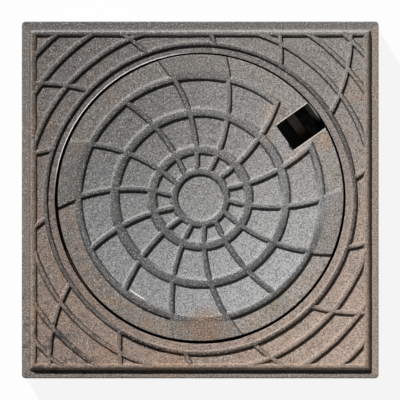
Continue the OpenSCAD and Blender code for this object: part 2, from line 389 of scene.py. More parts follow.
# %% [markdown]
# ## The lower half of each casting
#
# Below the floor there is nothing to change: skirt, webs, seat, rim and stiffening ribs are true as they
# are. A copy of the loaded casting is cut through by a level plane, and only what lies below is kept and
# capped. The relief is then set on top of it, plane on plane.

# %% Keeping what lies below a level
SAME_POINT = 1e-6
SMOOTH_BELOW_DEG = 48


def lower_half(node, level):
    """A capped copy of a loaded casting below a level."""
    bm = bmesh.new()
    bm.from_mesh(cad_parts[node].data)
    bmesh.ops.remove_doubles(bm, verts=bm.verts[:], dist=SAME_POINT)
    cut = bmesh.ops.bisect_plane(
        bm, geom=bm.verts[:] + bm.edges[:] + bm.faces[:], dist=0.1 * ON_PLANE,
        plane_co=(0, 0, level), plane_no=(0, 0, 1), clear_outer=True,
    )
    rim = [g for g in cut["geom_cut"] if isinstance(g, bmesh.types.BMEdge)]
    bmesh.ops.triangle_fill(bm, use_beauty=True, use_dissolve=False, edges=rim)
    bmesh.ops.recalc_face_normals(bm, faces=bm.faces[:])
    return bm


def as_object(name, parts):
    """Joins closed shells to one object, smooth but for its sharp edges."""
    mesh = bpy.data.meshes.new(name)
    whole = bmesh.new()
    for part in parts:
        held = bpy.data.meshes.new("shell")
        part.to_mesh(held)
        part.free()
        whole.from_mesh(held)
        bpy.data.meshes.remove(held)
    for f in whole.faces:
        f.smooth = True
    whole.to_mesh(mesh)
    whole.free()
    mesh.set_sharp_from_angle(angle=math.radians(SMOOTH_BELOW_DEG))
    obj = bpy.data.objects.new(name, mesh)
    bpy.context.scene.collection.objects.link(obj)
    print(name, "has", sum(len(p.vertices) - 2 for p in mesh.polygons), "triangles")
    return obj


print("edges stay sharp from", SMOOTH_BELOW_DEG, "degrees")

# %% [markdown]
# ## The lifting notch
#
# The notch is turned to its place as a whole, so its outline is drawn along the x axis, where it is easy
# to read. Its inner corners are quarter circles, and at one of them an ellipse stands for the bite that
# a lifting tool has broken out.

# %% Outline of the notch
NOTCH_ANGLE = math.radians(37.2 - COVER_TURN_DEG)
NOTCH_ROOT = 139.0 * MM
NOTCH_HALF = 20.5 * MM
NOTCH_CORNER = 2.0 * MM
NOTCH_REACH = 70 * MM
CORNER_STEPS = 3
BITE_MIDDLE = (138.9 * MM, -15.6 * MM)
BITE_AXES = (2.1 * MM, 5.2 * MM)
BITE_POINTS = 8


def notch_outline():
    """The notch in plan, anticlockwise, with round inner corners."""
    outline = [(NOTCH_ROOT + NOTCH_REACH, NOTCH_HALF)]
    for side in (1, -1):
        for step in range(CORNER_STEPS + 1):
            swing = math.radians(90 * step / CORNER_STEPS)
            if side < 0:
                swing = math.pi / 2 - swing
            outline.append((
                NOTCH_ROOT + NOTCH_CORNER * (1 - math.sin(swing)),
                side * (NOTCH_HALF - NOTCH_CORNER * (1 - math.cos(swing))),
            ))
    outline.append((NOTCH_ROOT + NOTCH_REACH, -NOTCH_HALF))
    return outline


def bite_outline():
    """The bite at the notch's inner corner, as a small ellipse."""
    (x, y), (across, along) = BITE_MIDDLE, BITE_AXES
    swings = np.linspace(0, math.tau, BITE_POINTS + 1)[:-1]
    return [(x + across * math.cos(a), y + along * math.sin(a)) for a in swings]


print("the notch is", round(2 * NOTCH_HALF / MM, 1), "mm wide")

# %% [markdown]
# ## The cover
#
# Now the cover itself: the relief sheet, the notch with the small bite at its inner corner, the conical
# edge and the lower half, all in one object that rides with the cover when it is lifted. The last few
# rows before the edge round the pads off and leave a narrow sunk rim outside them.

# %% Building the cover
COVER_CUT_Z = FLOOR_Z - 3.0 * MM
PAD_EDGE_R = COVER_R - 0.5 * MM
COVER_ROW_SPACING = 3.2 * MM
CENTRE_ROWS = np.linspace(0.3, 0.98, 8)
PAD_EDGE_MARGIN = 1.2 * MM
PAD_EDGE_ROWS = MM * np.array([-1.0, -0.45, -0.12, 0.0, 0.06])
PAD_EDGE_DROPS = MM * np.array([0.0, 0.0, 0.15, 0.5, 0.5])
RIM_DROP = 0.4 * MM
DEEPEST_FLOOR = 0.1 * MM
ON_EDGE = 0.5 * MM


def cone_seat(edge_r, level, middle_y):
    """Moves border points of the round edge onto the cone of the rim, and leaves the others."""
    def seat(x, y):
        r = math.hypot(x, y - middle_y)
        if abs(r - edge_r) > ON_EDGE:
            return x, y
        true_r = edge_r - (FLOOR_Z - level) * TAPER
        return x * true_r / r, middle_y + (y - middle_y) * true_r / r
    return seat


def round_off_edge(heights):
    """Rounds the pads' outer edge over the last rows and sinks the rim outside it."""
    heights[-1 - len(PAD_EDGE_DROPS):-1] -= PAD_EDGE_DROPS[:, None]
    heights[-2] = np.minimum(heights[-2], 0.0)
    heights[:-1] = np.maximum(heights[:-1], -DEEPEST_FLOOR)
    heights[-1] = -RIM_DROP
    return heights


def build_cover():
    """The cover's casting as one object."""
    rows = rows_between(NEAREST_R, COVER_R, COVER_RINGS, COVER_ROW_SPACING)
    rows = np.concatenate([
        CENTRE_ROWS * NEAREST_R, rows[rows < PAD_EDGE_R - PAD_EDGE_MARGIN],
        PAD_EDGE_R + PAD_EDGE_ROWS, [COVER_R],
    ])
    directions, offsets, sectors = bent_grid(rows, COVER_PHASE, COVER_RIB_HALF)
    heights = round_off_edge(cover_heights(rows, offsets, sectors))
    sheet, grid = bent_sheet(
        rows, directions, heights, COVER_Y, edge_drop=lambda r: 0.0,
        calm=lambda r: min(1.0, max(0.0, (COVER_R - r) / CALM_WIDTH)),
    )
    middle = sheet.verts.new((0, COVER_Y, grid[0][0].co.z))
    for j, corner in enumerate(grid[0]):
        sheet.faces.new((middle, corner, grid[0][(j + 1) % len(grid[0])]))
    cut_outline(sheet, turned(notch_outline(), NOTCH_ANGLE, COVER_Y))
    cut_outline(sheet, turned(bite_outline(), NOTCH_ANGLE, COVER_Y))
    close_below(sheet, COVER_CUT_Z, cone_seat(COVER_R, COVER_CUT_Z, COVER_Y))
    return as_object("cover_casting", [sheet, lower_half("cover", COVER_CUT_Z)])


cover_casting = build_cover()
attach(cover_casting, "cover")
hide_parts("cover")

# %% [markdown]
# ## The frame
#
# The frame takes three shells: the relief between pocket and border, the border with its ledge, and the
# lower half. The border isn't bent along the circles. Its section is drawn once, as a short list that
# runs from the inside out, and carried round the square with small round corners. Each row of the list
# gives the distance from the middle, the height over the floor and the corner's radius, in millimetres.

# %% The border and its ledge
FRAME_CUT_Z = FLOOR_Z - 6.0 * MM
BORDER_MIDDLE = 223.75 * MM
BORDER_SECTION = (
    (219.1, -1.0, 1.0), (219.5, 0.1, 1.0), (219.95, 1.35, 1.0), (220.6, 2.65, 1.0), (221.5, 3.55, 1.2),
    (222.6, 3.93, 1.4), (223.75, 4.0, 1.5), (224.9, 3.93, 1.6), (226.0, 3.5, 1.8), (226.9, 2.5, 2.0),
    (227.7, 0.9, 2.0), (228.4, -1.0, 2.0), (229.0, -2.9, 2.0), (229.5, -3.75, 2.0), (230.3, -3.98, 2.2),
    (232.5, -4.0, 2.6), (235.5, -4.0, 3.4), (238.2, -4.03, 4.2), (239.2, -4.25, 4.6), (239.75, -4.8, 4.9),
    (240.0, -5.6, 5.0),
)
BORDER_TRUE_FROM = 239
BORDER_RIPPLE = 0.12 * MM
BORDER_SWELL = 0.2 * MM
BORDER_WAVE = 0.35 * MM


def square_path(half, corner, steps=64, bends=7):
    """Points round a square with round corners, the same number at every size."""
    points = []
    straight = half - corner
    for quarter in range(4):
        turn = quarter * math.pi / 2
        side = [(half, -straight + 2 * straight * k / steps) for k in range(steps)]
        bend = [
            (straight + corner * math.cos(a), straight + corner * math.sin(a))
            for a in np.linspace(0, math.pi / 2, bends)
        ]
        points += turned(side + bend[:-1], turn)
    return points


def build_border():
    """The border rib, the deck's side and the ledge as one closed strip."""
    bm = bmesh.new()
    loops = []
    for out, height, corner in BORDER_SECTION:
        loop = []
        for x, y in square_path(out * MM, corner * MM):
            free = 1.0 if out < BORDER_TRUE_FROM else 0.0
            ripple = BORDER_RIPPLE * wander(x, y, RIPPLE_SIZE, seed=6.1)
            swell = BORDER_SWELL * wander(x, y, WANDER_SIZE, seed=2.2)
            wave = BORDER_WAVE * wander(x, y, WANDER_SIZE, seed=4.4) * free
            scale = 1.0 + wave / (out * MM)
            lift = min(height * MM - SINK * free + (ripple + swell) * free, RIB_H)
            loop.append(bm.verts.new((x * scale, y * scale, FLOOR_Z + lift)))
        loops.append(loop)
    around = len(loops[0])
    for inner, outer in zip(loops, loops[1:]):
        for j in range(around):
            n = (j + 1) % around
            bm.faces.new((inner[j], outer[j], outer[n], inner[n]))
    close_below(bm, FRAME_CUT_Z)
    return bm


print("the border's section has", len(BORDER_SECTION), "points")

# %% [markdown]
# ## The frame's relief
#
# The relief is a bent sheet again, from the pocket's edge outwards. It reaches past the border's middle
# and is then trimmed with four planes, one for each side, so that the border covers its end. Its first
# rows lie close together and drop a little, which rounds the pocket's edge.

# %% Building the frame
RELIEF_ROW_SPACING = 3.4 * MM
POCKET_EDGE_ROWS = MM * np.array([0.0, 0.18, 0.45, 0.85])
POCKET_EDGE_MARGIN = 1.3 * MM
POCKET_EDGE_DROP = 0.6 * MM
RELIEF_SETBACK = 0.05 * MM
PAST_CORNER = 3 * MM


def build_relief():
    """The relief between the pocket's edge and the middle of the border."""
    reach = BORDER_MIDDLE * math.sqrt(2) + POCKET_Y + PAST_CORNER
    start = POCKET_R + RELIEF_SETBACK
    rows = rows_between(start, reach, (FRAME_RING, *CORNER_ARCS), RELIEF_ROW_SPACING)
    rows = np.concatenate([start + POCKET_EDGE_ROWS, rows[rows > start + POCKET_EDGE_MARGIN]])
    directions, offsets, sectors = bent_grid(rows, FRAME_PHASE, FRAME_RIB_HALF)
    heights = frame_heights(rows, offsets, sectors)
    sheet, _ = bent_sheet(
        rows, directions, heights, POCKET_Y,
        edge_drop=lambda r: POCKET_EDGE_DROP * max(0.0, 1.0 - (r - start) / POCKET_EDGE_ROWS[-1]) ** 2,
        calm=lambda r: min(1.0, max(0.0, (r - start) / CALM_WIDTH)),
    )
    for turn in range(4):
        bmesh.ops.bisect_plane(
            sheet, geom=sheet.verts[:] + sheet.edges[:] + sheet.faces[:], dist=ON_PLANE,
            plane_co=turned([(BORDER_MIDDLE, 0)], turn * math.pi / 2)[0] + (0,),
            plane_no=turned([(1, 0)], turn * math.pi / 2)[0] + (0,), clear_outer=True,
        )
    close_below(sheet, FRAME_CUT_Z, cone_seat(POCKET_R, FRAME_CUT_Z, POCKET_Y))
    return sheet


frame_shells = [build_relief(), build_border(), lower_half("frame", FRAME_CUT_Z)]
frame_casting = as_object("frame_casting", frame_shells)
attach(frame_casting, "frame")
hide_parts("frame")

# %% [markdown]
# ## Colours as the eye sees them
#
# We pick a colour from 0 to 255, as a screen shows it, because that is easy to set beside a picture. A
# shader counts light instead, so every tone goes through the same curve first.

# %% From screen values to linear light
def linear(r, g, b):
    """A colour written as 0 to 255 screen values, as the linear values that shaders use."""
    def one(v):
        v /= 255.0
        return v / 12.92 if v <= 0.04045 else ((v + 0.055) / 1.055) ** 2.4
    return (one(r), one(g), one(b), 1.0)


print("a screen grey of 128 is", round(linear(128, 128, 128)[0], 3), "in linear light")

# %% [markdown]
# ## Node materials
#
# Iron that has lain in the street isn't one colour. Its material is a small stack: a base colour that
# drifts slowly from one corner to the other, partly as painted light that is weaker at the upper left and
# stronger at the lower right, patches of rust, fine grain from the sand and bright specks where the skin is
# worn. A helper that adds a node and links its inputs keeps each recipe short, and a mask is simply a value
# that is 1 where something shows and 0 where it doesn't.

# %% Helpers for node recipes
class Recipe:
    """A material whose nodes are added one by one; inputs are values or the outputs of earlier nodes."""

    def __init__(self, name):
        self.material = bpy.data.materials.new(name)
        self.material.use_nodes = True
        self.tree = self.material.node_tree
        self.shader = self.tree.nodes["Principled BSDF"]
        origin = self.tree.nodes.new("ShaderNodeTexCoord")
        self.place, self.normal = origin.outputs["Object"], origin.outputs["Normal"]

    def put(self, node, inputs):
        """Sets inputs of a node, by a link where the value is an output."""
        for name, value in inputs.items():
            if isinstance(value, bpy.types.NodeSocket):
                self.tree.links.new(value, node.inputs[name])
            else:
                node.inputs[name].default_value = value

    def add(self, kind, inputs, **settings):
        """Adds a node with its settings and inputs, and gives its outputs."""
        node = self.tree.nodes.new("ShaderNode" + kind)
        for name, value in settings.items():
            setattr(node, name, value)
        self.put(node, inputs)
        return node.outputs

    def math(self, operation, a, b=0.0):
        """A sum, product or other figure of two values."""
        return self.add("Math", {0: a, 1: b}, operation=operation)[0]

    def times(self, first, *others):
        """The product of two or more values."""
        for other in others:
            first = self.math("MULTIPLY", first, other)
        return first

    def ramp(self, value, low, high):
        """A smooth step from 0 at low to 1 at high."""
        ends = {"Value": value, "From Min": low, "From Max": high}
        return self.add("MapRange", ends, interpolation_type="SMOOTHSTEP")["Result"]

    def between(self, value, low, high, soft):
        """1 where a value lies between two limits, with soft borders outside them."""
        return self.times(self.ramp(value, low - soft, low), self.ramp(value, high + soft, high))

    def noise(self, size, detail=3.0, roughness=0.55, shift=0.0):
        """Cloudy noise whose lumps are about size metres across."""
        step = (shift, 0.37 * shift, 0.71 * shift)
        shifted = self.add("VectorMath", {0: self.place, 1: step}, operation="ADD")[0]
        lumps = {"Vector": shifted, "Scale": 1.0 / size, "Detail": detail, "Roughness": roughness}
        return self.add("TexNoise", lumps)["Fac"]

    def mix(self, share, a, b):
        """One colour over another."""
        return self.add("Mix", {"Factor": share, "A": a, "B": b}, data_type="RGBA")["Result"]

    def tint(self, colour, mask, share, tone):
        """A colour that gives way to a 0 to 255 tone, by a share, where the mask is 1."""
        return self.mix(self.times(mask, share), colour, linear(*tone))

    def axes(self, vector=None):
        """The x, y and z of a vector, or of the place on the piece."""
        return self.add("SeparateXYZ", {0: self.place if vector is None else vector})

    def radius(self, x, y):
        """Distance from the vertical line over a plan point."""
        px, py, _ = self.axes()
        across = self.math("POWER", self.math("SUBTRACT", px, x), 2.0)
        along = self.math("POWER", self.math("SUBTRACT", py, y), 2.0)
        return self.math("SQRT", self.math("ADD", across, along))

    def near(self, spot, low, high):
        """1 within the distance low of a plan point, fading to 0 at high; all in millimetres."""
        return self.ramp(self.radius(spot[0] * MM, spot[1] * MM), high * MM, low * MM)

    def bump(self, height, distance, strength):
        """A normal that follows small heights."""
        return self.add("Bump", {"Height": height, "Distance": distance, "Strength": strength})[0]


print("a recipe's tools:", ", ".join(name for name in vars(Recipe) if not name.startswith("_")))

# %% [markdown]
# ## Marks that both castings share
#
# Some flanks face the sun and the others face away. Those facing away get painted shade at their foot,
# and those facing the sun are darkened in places, which is painted shade too. We find those flanks by the
# direction of the surface, which a node called Texture Coordinate gives us. Stains are kept in tables, one
# row each, so that a loop can lay them over the colour.

# %% Shared masks and skins
# The plan direction towards the sun; flanks are sorted by it for painted shade.
SUNWARD_PLAN = (-0.515, 0.857)
FLANK_FROM, FLANK_TO, FLANK_SOFT = FLOOR_Z + 1.2 * MM, FLOOR_Z + 3.0 * MM, 0.8 * MM
BACK_FROM, BACK_TO = FLOOR_Z + 3.0 * MM, FLOOR_Z + 3.6 * MM
GRAIN_SIZE = 1.7 * MM
SPECK_SIZE = 1.6 * MM
SPECK_TONE = (226, 223, 217)
PLAIN_GLOSS = 0.5


# Where four corner tones run from dark at the upper left to light at the lower right, the drift is partly
# painted light.
def corner_tones(recipe, tones, middle=0.0, reach=0.21):
    """A colour that drifts between four 0 to 255 tones: top left, top right, bottom left, bottom right."""
    x, y, _ = recipe.axes()
    rightwards = recipe.ramp(x, -reach, reach)
    upwards = recipe.ramp(y, middle - reach, middle + reach)
    top_left, top_right, bottom_left, bottom_right = (linear(*tone) for tone in tones)
    bottom = recipe.mix(rightwards, bottom_left, bottom_right)
    return recipe.mix(upwards, bottom, recipe.mix(rightwards, top_left, top_right))


def sand_grain(recipe, colour, depth):
    """Fine grain and bright specks over a colour, as a sand mould leaves them."""
    grain = recipe.ramp(recipe.noise(GRAIN_SIZE, 2.0, 0.8), 0.3, 0.64)
    colour = recipe.mix(grain, recipe.mix(0.82, colour, linear(0, 0, 0)), colour)
    specks = recipe.ramp(recipe.noise(SPECK_SIZE, 1.0, 0.5, shift=0.9), 0.56, 0.74)
    return recipe.tint(colour, specks, depth, SPECK_TONE)


def flank_masks(recipe):
    """Two masks for steep flanks, for painted shade: those facing away from the sun, and those facing it."""
    nx, ny, level = recipe.axes(recipe.normal)
    sun_facing = recipe.math("ADD", recipe.times(nx, SUNWARD_PLAN[0]), recipe.times(ny, SUNWARD_PLAN[1]))
    shaded_flank = recipe.times(recipe.ramp(level, 0.94, 0.74), recipe.ramp(sun_facing, 0.5, 0.15))
    return shaded_flank, recipe.times(recipe.ramp(level, 0.96, 0.8), recipe.ramp(sun_facing, 0.3, 0.55))


def stained(recipe, colour, stains, held=1.0):
    """Lays each stain of a table over the colour, where held is 1."""
    for spot, reach, share, tone in stains:
        spread = recipe.times(recipe.near(spot, 0.4 * reach, reach), share)
        colour = recipe.tint(colour, spread, held, tone)
    return colour


def seam_shade(recipe, colour, in_seam, tone):
    """Paints the seam nearly black and without gloss, as painted shade in the gap."""
    gloss = recipe.math("SUBTRACT", PLAIN_GLOSS, recipe.times(in_seam, PLAIN_GLOSS))
    recipe.put(recipe.shader, {"Specular IOR Level": gloss})
    return recipe.tint(colour, in_seam, 1.0, tone)


def close_recipe(recipe, colour, smooth, rough, pore_size, pore_depth):
    """Links the colour, a cloudy roughness and fine pores to the shader."""
    sheen = recipe.ramp(recipe.noise(9 * MM, 3.0, 0.6, shift=4.0), smooth, rough)
    pores = recipe.noise(pore_size, 3.0, 0.7, shift=1.4)
    skin = recipe.bump(pores, pore_depth, 0.9)
    recipe.put(recipe.shader, {"Base Color": colour, "Roughness": sheen, "Normal": skin})
    return recipe.material


print("rib backs start", round((BACK_FROM - FLOOR_Z) / MM, 1), "mm above the floor")

# %% [markdown]
# ## The ground colour of the cover
#
# Shoes and tyres keep the middle of a cover bare, and water keeps its rim brown. So the cover starts from
# steel grey and turns brown past the outer ring rib, with rust and a little moss there. The border
# between the two isn't a true circle: cloudy noise is added to the distance before it is compared.

# %% Grey middle and brown rim
# From the upper left to the lower right these grow lighter, partly as painted light.
COVER_GREYS = ((116, 114, 113), (168, 165, 162), (162, 162, 162), (200, 200, 200))
COVER_BROWNS = ((126, 121, 117), (171, 164, 158), (141, 130, 122), (192, 180, 171))
BROWN_FROM, BROWN_FULL = 168 * MM, 184 * MM


def cover_ground(m, radius, blotch):
    """Bare grey in the middle, brown with rust and moss past the outer ring."""
    x, y, _ = m.axes()
    outer = m.ramp(m.math("ADD", radius, m.times(blotch, 22 * MM)), BROWN_FROM, BROWN_FULL)
    greys = corner_tones(m, COVER_GREYS, COVER_Y, 0.13)
    colour = m.mix(outer, greys, corner_tones(m, COVER_BROWNS, COVER_Y, 0.16))
    low_left = m.ramp(m.math("SUBTRACT", m.times(x, -0.5), y), -0.1, 0.2)
    rusty = m.times(outer, m.math("ADD", 0.22, m.times(low_left, 0.38)))
    rust = m.ramp(m.noise(17 * MM, 5.0, 0.65, shift=0.3), 0.47, 0.66)
    colour = m.tint(colour, rust, rusty, (172, 142, 108))
    moss = m.ramp(m.noise(21 * MM, 3.0, 0.6, shift=2.2), 0.54, 0.7)
    return m.tint(colour, moss, m.times(outer, 0.45), (118, 122, 110))


print("brown from", round(BROWN_FROM / MM), "mm outwards")

# %% [markdown]
# ## Ribs of the cover
#
# Rib backs are polished darker than the sanded floor, and they are lighter again at the right. The flanks
# are a touch paler, partly from wear and partly as a painted highlight. Painted shade darkens the foot of
# the flanks that face away from the sun, and the flanks that face the sun are darkened a little at the
# lower right, as painted shade too.

# %% Backs, feet and flanks of the cover's ribs
COVER_BACKS = ((84, 83, 82), (146, 145, 143), (104, 104, 104), (90, 90, 91))
BRIGHT_BACKS_SPOT = (148, 8)


def cover_ribs(m, colour, radius):
    """Tones of the cover's rib backs and flanks."""
    x, y, z = m.axes()
    shaded_flank, sun_facing = flank_masks(m)
    # A pale tint on all flanks: partly wear, partly painted highlight.
    colour = m.tint(colour, m.between(z, FLANK_FROM, FLANK_TO, FLANK_SOFT), 0.1, (222, 220, 216))
    back = m.ramp(z, BACK_FROM, BACK_TO)
    off_pads = m.ramp(radius, 171 * MM, 168 * MM)
    worn = m.times(back, m.math("ADD", 0.3, m.times(off_pads, 0.64)))
    colour = m.mix(worn, colour, corner_tones(m, COVER_BACKS, COVER_Y, 0.13))
    bright = m.times(back, off_pads, m.near(BRIGHT_BACKS_SPOT, 30, 62))
    colour = m.tint(colour, bright, 0.55, (172, 172, 170))
    # Painted shade at the foot of the flanks that face away from the sun.
    colour = m.tint(colour, shaded_flank, 0.75, (44, 42, 40))
    # Painted shade on the sun-facing flanks, stronger towards the lower right.
    up = m.math("SUBTRACT", y, COVER_Y)
    low_right = m.ramp(m.math("SUBTRACT", x, up), -0.04, 0.2)
    dulled = m.math("ADD", m.times(low_right, 0.55), 0.05)
    return m.tint(colour, sun_facing, dulled, (110, 109, 108))


print("the cover's backs have", len(COVER_BACKS), "corner tones")

# %% [markdown]
# ## Marks on the cover
#
# The stains are a table: the place on the cover and the reach in millimetres, how strong it is, and its
# tone. After them come the pits in the outer ring, the pale edges of the notch, the painted shade in the
# seam and the one bright chip at the ring's foot.

# %% Stains, pits, notch edges, seam and chip
COVER_STAINS = (
    ((8, -170), 34, 0.62, (158, 122, 96)),
    ((-170, 12), 30, 0.4, (112, 112, 106)),
    ((170, 6), 32, 0.35, (158, 157, 155)),
    ((77.7, 72.5), 9, 0.4, (70, 66, 62)),
    ((112.7, 118.3), 9, 0.4, (74, 68, 62)),
    ((101.9, -138.5), 26, 0.3, (112, 122, 104)),
    ((98, 116), 26, 0.32, (196, 164, 142)),
    ((92, 86), 15, 0.35, (186, 160, 142)),
    ((128, 62), 24, 0.3, (194, 168, 148)),
    ((168, 80), 17, 0.45, (198, 156, 120)),
)
PITTED_SPOT = (-70, -142)
CHIP_SPOT = (-84.7, -127.4)
CHIP_RING = (154.9 * MM, 156.3 * MM)
WIDE_SEAM_SHADOW_SPOT = (-150, 50)


def ring_pits(m, colour, radius):
    """Rusty pits in the back of the outer ring, at its lower left."""
    on_ring = m.between(radius, 158 * MM, 168 * MM, 1.5 * MM)
    pits = m.ramp(m.noise(6 * MM, 4.0, 0.7, shift=3.3), 0.35, 0.6)
    return m.tint(colour, m.times(on_ring, m.near(PITTED_SPOT, 24, 34), pits), 0.75, (66, 54, 46))


def notch_edges(m, colour):
    """A pale line along both long edges of the notch."""
    x, y, _ = m.axes()
    up = m.math("SUBTRACT", y, COVER_Y)
    c, s = math.cos(NOTCH_ANGLE), math.sin(NOTCH_ANGLE)
    outwards = m.math("ADD", m.times(x, c), m.times(up, s))
    sideways = m.math("ABSOLUTE", m.math("SUBTRACT", m.times(up, c), m.times(x, s)))
    edges = m.between(sideways, NOTCH_HALF, NOTCH_HALF + 0.9 * MM, 0.5 * MM)
    edges = m.times(edges, m.ramp(outwards, NOTCH_ROOT, NOTCH_ROOT + 3 * MM))
    return m.tint(colour, edges, 0.75, (246, 232, 218))


def cover_seam(m, colour, radius):
    """Painted shade at the cover's edge, wider at the upper left, where the frame's edge shades the gap."""
    wider = m.times(m.near(WIDE_SEAM_SHADOW_SPOT, 120, 190), 1.3 * MM)
    past_edge = m.math("SUBTRACT", radius, m.math("SUBTRACT", 192.6 * MM, wider))
    return seam_shade(m, colour, m.ramp(past_edge, -0.2 * MM, 0.2 * MM), (10, 9, 9))


def ring_chip(m, colour, radius):
    """A bright chip where the outer ring was struck."""
    line = m.between(radius, *CHIP_RING, 0.4 * MM)
    return m.tint(colour, m.times(line, m.near(CHIP_SPOT, 9, 13)), 0.9, (236, 232, 226))


print(len(COVER_STAINS), "stains on the cover")

# %% [markdown]
# ## The iron of the cover
#
# Now the layers are laid one over another, from the ground colour upwards. The order matters: the sand
# grain comes after the stains, so that they look soaked in, and before the seam and the chip.

# %% Material of the cover
def cover_iron():
    """Bare grey iron in the middle, brown past the outer ring."""
    m = Recipe("worn_cover_iron")
    radius = m.radius(0.0, COVER_Y)
    blotch = m.noise(30 * MM, 3.0, 0.6)
    colour = cover_ground(m, radius, blotch)
    colour = cover_ribs(m, colour, radius)
    colour = stained(m, colour, COVER_STAINS)
    colour = ring_pits(m, colour, radius)
    colour = sand_grain(m, colour, 0.56)
    colour = notch_edges(m, colour)
    colour = cover_seam(m, colour, radius)
    colour = ring_chip(m, colour, radius)
    under = m.ramp(m.axes()[2], FLOOR_Z - 1.0 * MM, FLOOR_Z - 3.0 * MM)
    colour = m.mix(under, colour, m.mix(blotch, linear(60, 55, 50), linear(96, 82, 70)))
    return close_recipe(m, colour, -0.5, 1.6, 2.0 * MM, 1.0 * MM)


print("the cover's recipe is ready")

# %% [markdown]
# ## The ground colour of the frame
#
# The frame isn't walked on as much, and mortar and soil keep it damp. It is brown all over, darkest at
# the upper left, which is partly painted shade, with orange rust at the lower left and along the border.
# The border and the ledge are found by the larger of the distances from the two middle lines, which is
# constant along a square.

# %% Brown ground, border and ledge
# From the upper left to the lower right these grow lighter, partly as painted light.
FRAME_TONES = ((113, 108, 105), (162, 154, 148), (162, 139, 125), (206, 181, 164))
BORDER_TINT = (218.5 * MM, 228.4 * MM)
LEDGE_TINT = (228.8 * MM, 229.6 * MM)
MITRE_SOFT = 4 * MM


def square_masks(m):
    """Distance from the middle as a square measures it, and masks of the top and the right side."""
    x, y, _ = m.axes()
    wide, tall = m.math("ABSOLUTE", x), m.math("ABSOLUTE", y)
    top_side = m.ramp(m.math("SUBTRACT", y, wide), -MITRE_SOFT, MITRE_SOFT)
    right_side = m.ramp(m.math("SUBTRACT", x, tall), -MITRE_SOFT, MITRE_SOFT)
    return m.math("MAXIMUM", wide, tall), top_side, right_side


def frame_ground(m, blotch):
    """Brown iron with rust, strongest at the lower left."""
    x, y, _ = m.axes()
    colour = corner_tones(m, FRAME_TONES)
    low_left = m.ramp(m.math("ADD", x, y), 0.22, -0.25)
    rusty = m.math("ADD", m.times(low_left, 0.8), 0.12)
    rust = m.times(m.ramp(m.noise(13 * MM, 5.0, 0.66, shift=0.5), 0.5, 0.72), rusty)
    colour = m.tint(colour, rust, 0.55, (174, 138, 102))
    return m.tint(colour, m.ramp(blotch, 0.5, 0.75), 0.35, (124, 121, 112))


def frame_border(m, colour, square, top_side, right_side):
    """Tan rust on three sides of the border, and the tones of the ledge."""
    on_border = m.times(m.between(square, *BORDER_TINT, 1.0 * MM), m.math("SUBTRACT", 1.0, top_side))
    rusted = m.times(on_border, m.ramp(m.noise(9 * MM, 4.0, 0.65, shift=2.9), 0.36, 0.6))
    colour = m.tint(colour, rusted, 0.6, (188, 152, 116))
    ledge = m.mix(right_side, linear(134, 128, 124), linear(178, 156, 138))
    ledge = m.mix(top_side, ledge, linear(106, 104, 102))
    return m.mix(m.times(m.ramp(square, *LEDGE_TINT), 0.7), colour, ledge)


print("the border's tint is", round((BORDER_TINT[1] - BORDER_TINT[0]) / MM, 1), "mm wide")

# %% [markdown]
# ## Ribs of the frame
#
# The same tools as on the cover, with three differences: the outer flank of the top border, which faces
# the sun, gets a painted highlight, the ring rib is darker than the swirl ribs, and the flat channel beside
# the seam is a shade darker than the fields.

# %% Backs, feet and flanks of the frame's ribs
FRAME_BACKS = ((58, 56, 54), (148, 143, 139), (128, 110, 98), (150, 128, 113))
RING_BACK = (204 * MM, 212.6 * MM)


def frame_ribs(m, colour, radius, square, top_side):
    """Tones of the frame's rib backs and flanks."""
    x, y, z = m.axes()
    shaded_flank, sun_facing = flank_masks(m)
    # All flanks get a pale tint, partly wear and partly painted highlight; the top border's outer flank
    # faces the sun and gets a strong painted highlight.
    sunlit_top_flank = m.times(top_side, m.ramp(square, 224 * MM, 226 * MM))
    pale = m.math("ADD", 0.1, m.times(sunlit_top_flank, 0.4))
    colour = m.tint(colour, m.between(z, FLANK_FROM, FLANK_TO, FLANK_SOFT), pale, (206, 202, 198))
    back = m.ramp(z, BACK_FROM, BACK_TO)
    colour = m.mix(m.times(back, 0.62), colour, corner_tones(m, FRAME_BACKS))
    inner = m.ramp(square, 220.5 * MM, 219 * MM)
    # Painted shade at the foot of the flanks that face away from the sun, strongest inside the border.
    colour = m.tint(colour, shaded_flank, m.math("ADD", m.times(inner, 0.65), 0.1), (48, 42, 38))
    low_right = m.ramp(m.math("SUBTRACT", x, y), 0.02, 0.22)
    ring_back = m.times(back, m.between(radius, *RING_BACK, 0.6 * MM))
    ring_tone = m.mix(low_right, linear(82, 82, 82), linear(60, 50, 44))
    colour = m.mix(m.times(ring_back, 0.76), colour, ring_tone)
    # Painted shade on the sun-facing flanks inside the border, towards the lower right.
    colour = m.tint(colour, m.times(sun_facing, inner), m.times(low_right, 0.4), (120, 108, 98))
    channel = m.ramp(radius, 205 * MM, 203 * MM)
    return m.tint(colour, channel, 0.16, (70, 66, 62))


print("the ring's dark back is", round((RING_BACK[1] - RING_BACK[0]) / MM, 1), "mm wide")

# %% [markdown]
# ## Marks on the frame
#
# Oil clings to the ribs and rust doesn't, so there are two tables of stains, and the first is held to
# what stands above the floor. A ragged mask of fine noise keeps both from looking like round spots.

# %% Oil, rust and lines on the frame
FRAME_OIL = (
    ((-137, -177), 13, 0.85, (26, 23, 21)),
    ((-120, -188), 13, 0.8, (30, 27, 25)),
    ((-97, -196), 15, 0.75, (34, 30, 28)),
    ((-70, -203), 13, 0.5, (40, 34, 30)),
    ((-190, -182), 12, 0.8, (28, 24, 22)),
    ((-176, -150), 10, 0.5, (44, 38, 34)),
    ((-176, -200), 28, 0.7, (50, 36, 28)),
)
FRAME_RUST = (
    ((-128, -206), 22, 0.4, (180, 140, 108)),
    ((-222, -150), 15, 0.4, (184, 144, 112)),
    ((-40, -222), 40, 0.35, (180, 140, 108)),
    ((208, 150), 26, 0.35, (190, 156, 124)),
)
RING_FOOT = (207.6 * MM, 213.4 * MM)
RING_FOOT_SPOT = (-80, -195)
LEDGE_LINE = (228.7 * MM, 229.6 * MM)


